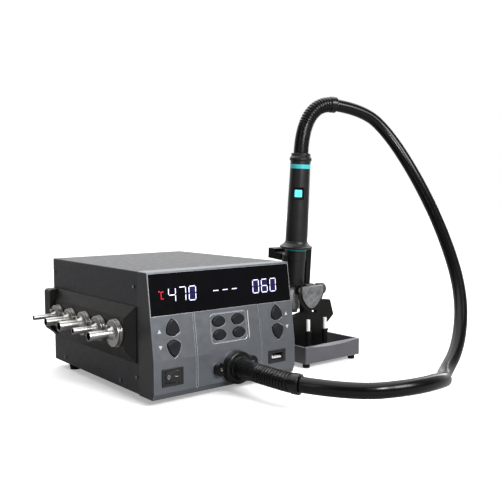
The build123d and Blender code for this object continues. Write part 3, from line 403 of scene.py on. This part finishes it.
def rounded(profile, radius):
    """A closed (radius, height) outline with each corner turned into a small arc."""
    out = []
    count = len(profile)
    for n in range(count):
        before, here, after = (Vector(profile[(n + k) % count]) for k in (-1, 0, 1))
        one = before - here
        two = after - here
        cut = min(radius, one.length * 0.45, two.length * 0.45)
        start = here + one.normalized() * cut
        end = here + two.normalized() * cut
        for k in range(ROUND_STEPS + 1):
            t = k / ROUND_STEPS
            out.append(tuple(start * (1 - t) ** 2 + here * 2 * t * (1 - t) + end * t ** 2))
    return out


def revolved(name, profile, matrix, slot, body, soften, sides, material=None):
    """A turned piece from a closed (radius, height) outline, about the matrix's z axis."""
    points = rounded(profile, soften)
    mesh = bpy.data.meshes.new(name)
    shape = bmesh.new()
    rings = []
    for n in range(sides):
        a = 2 * math.pi * n / sides
        ring = [shape.verts.new(matrix @ Vector((r * math.cos(a), r * math.sin(a), h))) for r, h in points]
        rings.append(ring)
    for one, two in zip(rings, rings[1:] + rings[:1]):
        for k in range(len(points)):
            nxt = (k + 1) % len(points)
            shape.faces.new((one[k], two[k], two[nxt], one[nxt]))
    bmesh.ops.recalc_face_normals(shape, faces=shape.faces)
    shape.to_mesh(mesh)
    shape.free()
    mesh.shade_smooth()
    return add_piece(name, mesh, slot, body, material)


def swept(name, line, radius_at, slot, body, step, bore=0.0052, sides=48, material=None):
    """A hollow tube along a line of points whose outer radius depends on the distance along it."""
    lengths = [0.0]
    for a, b in zip(line, line[1:]):
        lengths.append(lengths[-1] + (b - a).length)
    total = lengths[-1]
    last = len(line) - 1
    aheads = [(line[min(last, n + 1)] - line[max(0, n - 1)]).normalized() for n in range(last + 1)]
    count = max(2, int(total / step))
    mesh = bpy.data.meshes.new(name)
    shape = bmesh.new()
    side = None
    outer = []
    inner = []
    k = 0
    for n in range(count + 1):
        s = total * n / count
        while k < len(line) - 2 and lengths[k + 1] < s:
            k += 1
        t = (s - lengths[k]) / max(1e-9, lengths[k + 1] - lengths[k])
        place = line[k].lerp(line[k + 1], t)
        ahead = aheads[k].lerp(aheads[k + 1], t).normalized()
        if side is None:
            side = ahead.orthogonal().normalized()
        side = (side - ahead * side.dot(ahead)).normalized()
        other = ahead.cross(side)
        for ring, radius in ((outer, radius_at(s, total)), (inner, bore)):
            turns = [2 * math.pi * m / sides for m in range(sides)]
            ring.append([shape.verts.new(place + (side * math.cos(a) + other * math.sin(a)) * radius)
                         for a in turns])
    for rings in (outer, inner):
        for one, two in zip(rings, rings[1:]):
            for m in range(sides):
                shape.faces.new((one[m], one[(m + 1) % sides], two[(m + 1) % sides], two[m]))
    for end in (0, -1):
        for m in range(sides):
            nxt = (m + 1) % sides
            shape.faces.new((outer[end][m], outer[end][nxt], inner[end][nxt], inner[end][m]))
    bmesh.ops.recalc_face_normals(shape, faces=shape.faces)
    shape.to_mesh(mesh)
    shape.free()
    mesh.shade_smooth()
    return add_piece(name, mesh, slot, body, material)


# ---------------------------------------------------------------- hose, cuff and boot

route = [Vector(p) for p in HOSE_ROUTE]

# The cuff at the unit: gland mouth and height, ring, cone and ribs, by distance along it.
GLAND = (103, -9, 28)
GLAND_AHEAD = (103, -40, 28)
CUFF_LIP = (0.0016, 0.0132)
CUFF_NECK_END = 0.0022
CUFF_CONE = (0.0118, 0.0018, 0.022)
CUFF_RIBS_FROM = 0.030
CUFF_RIBS = (0.0084, 0.0102, 0.0042)
CUFF_RING = (0.0075, 0.0007, 0.0106)

# The boot at the handle: plain lower part, ribs and ring, by distance along it.
BOOT_FOOT_Z = 179.5
BOOT_PLAIN = (0.42, 0.0100, 0.0003)
BOOT_RIBS = (0.0089, 0.0099, 0.0034)
BOOT_RING = (0.008, 0.0104)


def make_hose():
    """The free hose: a mesh tube on the smooth line."""
    line = line_points(route, 40)
    hose = swept("air_hose", line, lambda s, total: HOSE_R, "rubber_black", None, 0.002, sides=40,
                 material="hose_black")
    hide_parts("hose")
    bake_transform(hose)


def ribbed(s, start, end, low, high, pitch):
    """Radius of a row of rounded ribs between two distances."""
    if not start < s < end:
        return low
    phase = ((s - start) / pitch) % 1
    shoulder = min(1.0, max(0.0, (0.5 - abs(phase - 0.5)) * 5 - 0.55))
    return low + (high - low) * (3 * shoulder ** 2 - 2 * shoulder ** 3)


def make_cuff():
    """Strain relief at the unit: cone, even ribs and an end ring."""
    exit_point = route[0]
    run = (route[1] - route[0]).normalized()
    gland = at(*GLAND)
    corner = exit_point - run * ((exit_point.x - gland.x) / run.x)
    line = line_points([gland, at(*GLAND_AHEAD), corner, exit_point], 60)

    def radius(s, total):
        lip_end, lip = CUFF_LIP
        widest, narrowing, cone_length = CUFF_CONE
        ring_length, ring_step, ring = CUFF_RING
        ring_start = total - ring_length
        if s < lip_end:
            return lip
        if s < CUFF_NECK_END:
            return widest
        if s > ring_start + ring_step:
            return ring
        if s < CUFF_RIBS_FROM:
            return widest - narrowing * min(1.0, (s - CUFF_NECK_END) / cone_length)
        return ribbed(s, CUFF_RIBS_FROM, ring_start, *CUFF_RIBS)

    cuff = swept("hose_cuff_ribbed", line, radius, "rubber_black", "station", 0.00025, bore=0.0055)
    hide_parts("hose_cuff")


def make_boot():
    """Bent strain relief at the handle: smooth below, ribbed above, with an end ring."""
    up = Vector((0, -math.sin(TILT), math.cos(TILT)))
    top = handle_frame() @ Vector((AXIS_X, AXIS_Y, BOOT_FOOT_Z))
    mouth = route[-1]
    run = (route[-2] - mouth).normalized()
    corner = mouth - run * ((mouth.x - top.x) / run.x)
    corner = top + up * (corner - top).dot(up)
    line = line_points([top, corner, mouth], 90)

    def radius(s, total):
        share, foot, narrowing = BOOT_PLAIN
        ring_length, ring = BOOT_RING
        plain_end = total * share
        if s > total - ring_length:
            return ring
        if s < plain_end:
            return foot - narrowing * s / plain_end
        return ribbed(s, plain_end, total - ring_length, *BOOT_RIBS)

    boot = swept("handle_boot_ribbed", line, radius, "rubber_black", None, 0.00025)
    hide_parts("handle_boot")
    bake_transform(boot)


make_hose()
make_cuff()
make_boot()

# ---------------------------------------------------------------- display

SEGMENTS = {"0": "abcdef", "4": "bcfg", "6": "acdefg", "7": "abc", "-": "g"}
DIGIT_GROUPS = ((23.7, 66, "470"), (78.8, 66, "---"), (134, 66, "060"))
DIGIT_H = 14.5
DIGIT_W = 8.3
DIGIT_PITCH = 12.5
STROKE = 0.85
SLANT = 0.05
WINDOW_OUT = 0.05
BAR_T = 0.2
GLOW_T = 0.06
GLOW_SIDE = 0.3
GLOW_TRIM = 0.4
GLOW_LEAN = 0.6
SIGN_BARS = ([(14.6, 62.6), (15.4, 62.6), (15.8, 70.4), (15.0, 70.4)],
             [(15.6, 69.6), (18.2, 69.6), (18.3, 70.4), (15.7, 70.4)],
             [(15.4, 62.6), (18.0, 62.6), (18.1, 63.4), (15.5, 63.4)],
             [(12.4, 69.8), (13.8, 69.8), (13.8, 71.2), (12.4, 71.2)])


def plate(shape, corners, matrix, thick, base=WINDOW_OUT):
    """A thin prism over a flat outline of (x, v) corners."""
    low = [shape.verts.new(matrix @ Vector((x, v, base))) for x, v in corners]
    high = [shape.verts.new(matrix @ Vector((x, v, base + thick))) for x, v in corners]
    shape.faces.new(list(reversed(low)))
    shape.faces.new(high)
    for n in range(len(corners)):
        nxt = (n + 1) % len(corners)
        shape.faces.new((low[n], low[nxt], high[nxt], high[n]))


def bar_corners(name):
    """The six corners of one bar of a digit whose lower left corner is the origin."""
    half = DIGIT_H / 2
    gap = STROKE * 0.62
    w = STROKE / 2
    if name in "adg":
        v = {"a": DIGIT_H, "d": 0, "g": half}[name]
        return [(gap, v), (gap + w, v - w), (DIGIT_W - gap - w, v - w), (DIGIT_W - gap, v),
                (DIGIT_W - gap - w, v + w), (gap + w, v + w)]
    x = DIGIT_W if name in "bc" else 0
    low = 0 if name in "ce" else half
    return [(x, low + gap), (x + w, low + gap + w), (x + w, low + half - gap - w), (x, low + half - gap),
            (x - w, low + half - gap - w), (x - w, low + gap + w)]


def mesh_piece(name, shape, slot, body, material=None):
    """A finished bmesh as a piece."""
    bmesh.ops.recalc_face_normals(shape, faces=shape.faces)
    mesh = bpy.data.meshes.new(name)
    shape.to_mesh(mesh)
    shape.free()
    return add_piece(name, mesh, slot, body, material)


def make_digits():
    """Lit bars of the three groups, a blue glow behind the closed digits and the red unit sign."""
    face = face_frame()
    bars = bmesh.new()
    glow = bmesh.new()
    for x, v, text in DIGIT_GROUPS:
        for n, digit in enumerate(text):
            left = x + n * DIGIT_PITCH
            low = v - DIGIT_H / 2
            for name in SEGMENTS[digit]:
                corners = [(left + px + SLANT * pv, low + pv) for px, pv in bar_corners(name)]
                plate(bars, corners, face, BAR_T)
            if digit in "06":
                x0 = left - GLOW_SIDE
                x1 = left + DIGIT_W + GLOW_SIDE
                v0 = low + GLOW_TRIM
                v1 = low + DIGIT_H - GLOW_TRIM
                plate(glow, [(x0, v0), (x1, v0), (x1 + GLOW_LEAN, v1), (x0 + GLOW_LEAN, v1)], face, GLOW_T)
    digits = mesh_piece("display_bars", bars, "display_light", "station")
    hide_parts("display_digits")
    mesh_piece("display_glow", glow, "display_light", "station", "blue_glow")
    sign = bmesh.new()
    for corners in SIGN_BARS:
        plate(sign, corners, face, BAR_T)
    mesh_piece("unit_sign", sign, "display_light", "station", "red_light")


make_digits()

# ---------------------------------------------------------------- nozzles on the rack

NOZZLE_Z = 70
NOZZLE_Y = (210, 173, 136, 99, 61)
NOZZLE_TUBE_R = (3, 4.6, 5.5, 3.6, 5)
NOZZLE_BASE_R = (13, 13, 14, 14, 15)
RACK_OUT = 8
NOZZLE_LENGTH = 33
BORE_R = 2.55
TUBE_WALL = 0.7
NOZZLE_SIDES = 72
# Near-black sleeve in the nozzle bore, painted shade: insets from the tube radius, lower end, gap below the
# tip.
SHADE_SLEEVE = (0.95, 0.72, 13, 0.8)
STUB = [(0.01, 0), (1.9, 0), (1.9, 3.2), (1.5, 3.6), (0.01, 3.6)]
STUB_AT = (0.42, 0.55, 5.6)


def make_nozzle(n):
    """Turned steel nozzle: two discs with a groove between, a dished face, a tube and a screw stub, and a
    near-black sleeve in the bore as painted shade.
    """
    base = NOZZLE_BASE_R[n]
    tube = NOZZLE_TUBE_R[n]
    tip = NOZZLE_LENGTH
    out = Matrix.Translation(Vector((-RACK_OUT, NOZZLE_Y[n], NOZZLE_Z)))
    matrix = bench_frame() @ out @ Matrix.Rotation(-math.pi / 2, 4, "Y")
    discs = [(BORE_R, 0.1), (base - 0.4, 0.1), (base, 0.5), (base, 2.4), (base - 1.6, 2.6), (base - 1.6, 3.6),
             (base - 0.6, 3.8), (base - 0.6, 6.2), (base - 2.0, 6.6), (base - 2.6, 6.0)]
    neck = [(tube + 2.6, 6.0), (tube + 1.4, 7.2), (tube + 0.4, 10.5), (tube, 11.5)]
    mouth = [(tube, tip), (tube - 0.5, tip), (tube - TUBE_WALL, tip - 6), (tube - TUBE_WALL, 12.2),
             (BORE_R, 12.2)]
    body = "stored_nozzle_%d" % (n + 1)
    name = "nozzle_%d" % (n + 1)
    piece = revolved(name + "_turned", discs + neck + mouth, matrix, "steel_bright", body, 0.25, NOZZLE_SIDES)
    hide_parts(name)
    # Painted shade: a near-black sleeve inside the tip of the bore stands in for the shade in it.
    inside, outside, deep, back = SHADE_SLEEVE
    shade_sleeve = [(tube - inside, deep), (tube - outside, deep), (tube - outside, tip - back),
              (tube - inside, tip - back)]
    revolved(name + "_bore", shade_sleeve, matrix, "steel_bright", body, 0.02, 48, "rubber_black")
    across, up, height = STUB_AT
    place = matrix @ Matrix.Translation(Vector((base * across, base * up, height)))
    revolved(name + "_screw", STUB, place, "steel_bright", body, 0.15, 24)


for number in range(5):
    make_nozzle(number)

# ---------------------------------------------------------------- unit

ROCKER_LEFT = ((13.6, -0.2), (22, 0.6))
ROCKER_RIGHT = ((22, 0.6), (30.4, -3.0))
ROCKER_Z = 30
RING_X = 17.8
BAR_X = 26.2
RING_R = (1.5, 2.1)
RING_SIDES = 24
RING_SQUEEZE = 0.75
BAR_HALF = (1.6, 0.3)
PRINT_T = 0.06


def flank_frame(ends, x):
    """Millimetres on one flank of the rocker: along it, up, and out of it, from a point at this x."""
    (x0, y0), (x1, y1) = ends
    along = Vector((x1 - x0, y1 - y0, 0)).normalized()
    out = along.cross(Vector((0, 0, 1)))
    y = y0 + (x - x0) * (y1 - y0) / (x1 - x0)
    axes = Matrix((along, (0, 0, 1), out)).transposed().to_4x4()
    return Matrix.Translation(at(x, y, ROCKER_Z)) @ axes @ Matrix.Scale(MM, 4)


def make_rocker_marks():
    """A ring for off and a bar for on, printed on the two flanks of the rocker."""
    marks = bmesh.new()
    left = flank_frame(ROCKER_LEFT, RING_X)
    inner, outer = RING_R
    for n in range(RING_SIDES):
        a, b = (2 * math.pi * k / RING_SIDES for k in (n, n + 1))
        turns = ((inner, a), (outer, a), (outer, b), (inner, b))
        plate(marks, [(r * RING_SQUEEZE * math.cos(t), r * math.sin(t)) for r, t in turns], left, PRINT_T)
    w, h = BAR_HALF
    plate(marks, [(-w, -h), (w, -h), (w, h), (-w, h)], flank_frame(ROCKER_RIGHT, BAR_X), PRINT_T)
    mesh_piece("rocker_marks", marks, "white_print", "rocker")


make_rocker_marks()

PRESET_AT = ((83.5, 32.7), (109.5, 32.7), (83.5, 18.2), (109.5, 18.2))
PRESET_SIZE = (8.4, 5.6)
ARROW_AT = ((25.5, 31.7, 1), (25.5, 13, -1), (165, 32.7, 1), (165, 14, -1))
ARROW_HALF = 8.5
ARROW_TIP = 10.5
ARROW_LOW = 7
HOLE_GAP = 0.45
# Painted highlight strips along the button holes and the left groove.
HIGHLIGHT_BASE = 0.01
HIGHLIGHT_T = 0.05
HIGHLIGHT_THIN = 0.05
PRESET_HIGHLIGHT = 0.75
PRESET_HIGHLIGHT_ARC = (-120, 160)
HIGHLIGHT_STEPS = 24
ARROW_HIGHLIGHT = 0.7
SIDE_STEPS = 14
FOOT_STEPS = 7
GROOVE_HIGHLIGHT_X = (53.0, 53.5)
GROOVE_HIGHLIGHT_LEANING = (0.5, 45.5)
GROOVE_HIGHLIGHT_UPRIGHT = (14.5, 46.8)


def arrow_edge(way):
    """The right side and half of the foot of a teardrop button, from its tip down, about its middle."""
    reach = ARROW_HALF * 0.93
    side = ((0, ARROW_TIP), (ARROW_HALF * 0.62, ARROW_TIP * 0.52), (reach, -ARROW_LOW * 0.45))
    points = []
    for k in range(SIDE_STEPS + 1):
        t = k / SIDE_STEPS
        weights = ((1 - t) * (1 - 2 * t), 4 * t * (1 - t), t * (2 * t - 1))
        x, v = (sum(w * place[n] for w, place in zip(weights, side)) for n in (0, 1))
        points.append((x, v * way))
    rise = ARROW_LOW * 0.55
    bend = (reach ** 2 + rise ** 2) / (2 * rise)
    for k in range(1, FOOT_STEPS):
        x = reach * (1 - k / FOOT_STEPS)
        points.append((x, (bend - ARROW_LOW - math.sqrt(bend ** 2 - x ** 2)) * way))
    return points


def lip(shape, points, widths, face, x, v):
    """A thin strip of painted highlight along an edge, as wide at each point as its width."""
    for (p, q), (a, b) in zip(zip(points, points[1:]), zip(widths, widths[1:])):
        corners = []
        for (px, pv), reach in ((p, HOLE_GAP), (q, HOLE_GAP), (q, HOLE_GAP + b), (p, HOLE_GAP + a)):
            out = Vector((px, pv)).normalized() * reach
            corners.append((x + px + out.x, v + pv + out.y))
        plate(shape, corners, face, HIGHLIGHT_T, base=HIGHLIGHT_BASE)


def highlight_widths(count, widest):
    """Widths of a painted highlight strip that swells from a thin start to its middle and thins out again."""
    return [HIGHLIGHT_THIN + widest * math.sin(math.pi * k / count) for k in range(count + 1)]


def make_painted_highlights():
    """Painted highlights: bright strips on the lower right of the button holes and beside the left groove."""
    face = face_frame()
    painted_highlights = bmesh.new()
    start, sweep = PRESET_HIGHLIGHT_ARC
    for x, v in PRESET_AT:
        angles = [math.radians(start + sweep * k / HIGHLIGHT_STEPS) for k in range(HIGHLIGHT_STEPS + 1)]
        points = [(PRESET_SIZE[0] * math.cos(a), PRESET_SIZE[1] * math.sin(a)) for a in angles]
        lip(painted_highlights, points, highlight_widths(HIGHLIGHT_STEPS, PRESET_HIGHLIGHT), face, x, v)
    for x, v, way in ARROW_AT:
        points = arrow_edge(way)
        lip(painted_highlights, points, highlight_widths(len(points) - 1, ARROW_HIGHLIGHT), face, x, v)
    upright = bench_frame() @ Matrix(((1, 0, 0, 0), (0, 0, -1, 0), (0, 1, 0, 0), (0, 0, 0, 1)))
    x0, x1 = GROOVE_HIGHLIGHT_X
    for (v0, v1), matrix in ((GROOVE_HIGHLIGHT_LEANING, face), (GROOVE_HIGHLIGHT_UPRIGHT, upright)):
        plate(painted_highlights, [(x0, v0), (x1, v0), (x1, v1), (x0, v1)], matrix, HIGHLIGHT_T, base=HIGHLIGHT_BASE)
    mesh_piece("front_painted_highlights", painted_highlights, "bezel_grey", "station", "edge_bright")


make_painted_highlights()

for node, width in (("power_rocker", 0.3), ("socket_tongue", 0.3), ("button_frame", 0.4),
                    ("handle_button", 0.5), ("tilt_knob", 0.2), ("tilt_pin", 0.3)):
    softened(node, width)

# ---------------------------------------------------------------- light and floor

DIM_FRONT = 0.10
BRIGHT_BACK = 1.7
BRIGHT_WAY = (0.62, 0.78, 0.0)
SKY_POWER = 2.7
SKY_ANGLE = 80
SKY_LEAN = -20
FLOOR_SIZE = 12
FLOOR_CELLS = 8
FLOOR_LIFT = 0.35
FLOOR_BOUNCE = 0.30
MIDDLE = (0, -0.02, 0.12)
SOFTBOXES = (("key_front", (0.28, -1.35, 0.95), (-0.05, -0.02, 0.12), (0.6, 0.6), 20),
             ("near_left", (-0.11, -0.62, 0.40), (-0.13, -0.07, 0.08), (0.12, 0.12), 2.6),
             ("strip_left", (-1.5, -0.35, 0.75), MIDDLE, (0.10, 1.1), 1.6),
             ("rim_right", (1.5, 0.3, 0.8), MIDDLE, (0.3, 1.3), 5))


def add_floor():
    """Pale floor, lifted where the camera sees it and dimmer in what it throws back at the object."""
    data = bpy.data.meshes.new("floor")
    shape = bmesh.new()
    bmesh.ops.create_grid(shape, x_segments=FLOOR_CELLS, y_segments=FLOOR_CELLS, size=FLOOR_SIZE)
    shape.to_mesh(data)
    shape.free()
    floor = bpy.data.objects.new("floor", data)
    bpy.context.scene.collection.objects.link(floor)
    material = finish("floor_pale", (0.86, 0.86, 0.86), 0.7, tone=0.01, tone_scale=3, soft_edge=0)
    tree = material.node_tree
    shader = tree.nodes["Principled BSDF"]
    shader.inputs["Emission Color"].default_value = (1, 1, 1, 1)
    shader.inputs["Emission Strength"].default_value = FLOOR_LIFT
    bounce = tree.nodes.new("ShaderNodeBsdfDiffuse")
    bounce.inputs["Color"].default_value = (FLOOR_BOUNCE, FLOOR_BOUNCE, FLOOR_BOUNCE, 1)
    path = tree.nodes.new("ShaderNodeLightPath")
    either = tree.nodes.new("ShaderNodeMixShader")
    link(tree, path.outputs["Is Camera Ray"], either.inputs["Fac"])
    link(tree, bounce.outputs["BSDF"], either.inputs[1])
    link(tree, shader.outputs["BSDF"], either.inputs[2])
    link(tree, either.outputs["Shader"], tree.nodes["Material Output"].inputs["Surface"])
    data.materials.append(material)


def add_softbox(name, place, target, size, power):
    """A rectangular area light that faces a target."""
    data = bpy.data.lights.new(name, "AREA")
    data.shape = "RECTANGLE"
    data.size, data.size_y = size
    data.energy = power
    light = bpy.data.objects.new(name, data)
    light.location = place
    light.rotation_euler = (Vector(target) - Vector(place)).to_track_quat("-Z", "Y").to_euler()
    bpy.context.scene.collection.objects.link(light)


def add_sky_light():
    """Even soft light from above that keeps the whole floor pale."""
    data = bpy.data.lights.new("sky", "SUN")
    data.energy = SKY_POWER
    data.angle = math.radians(SKY_ANGLE)
    light = bpy.data.objects.new("sky", data)
    light.rotation_euler = (math.radians(SKY_LEAN), 0, 0)
    bpy.context.scene.collection.objects.link(light)


def add_world():
    """White behind the object and dim elsewhere, and plain white where the camera sees it."""
    world = bpy.data.worlds.new("studio")
    bpy.context.scene.world = world
    world.use_nodes = True
    tree = world.node_tree
    seen = tree.nodes["Background"]
    seen.inputs["Color"].default_value = (1, 1, 1, 1)
    lit = tree.nodes.new("ShaderNodeBackground")
    place = tree.nodes.new("ShaderNodeTexCoord")
    toward = tree.nodes.new("ShaderNodeVectorMath")
    toward.operation = "DOT_PRODUCT"
    toward.inputs[1].default_value = BRIGHT_WAY
    link(tree, place.outputs["Generated"], toward.inputs[0])
    strength = ranged(tree, toward.outputs["Value"], DIM_FRONT, BRIGHT_BACK, 0.1, 0.9)
    link(tree, strength, lit.inputs["Strength"])
    path = tree.nodes.new("ShaderNodeLightPath")
    either = tree.nodes.new("ShaderNodeMixShader")
    link(tree, path.outputs["Is Camera Ray"], either.inputs["Fac"])
    link(tree, lit.outputs["Background"], either.inputs[1])
    link(tree, seen.outputs["Background"], either.inputs[2])
    link(tree, either.outputs["Shader"], tree.nodes["World Output"].inputs["Surface"])


add_floor()
add_world()
for softbox in SOFTBOXES:
    add_softbox(*softbox)
add_sky_light()
bpy.context.scene.view_settings.view_transform = "Standard"
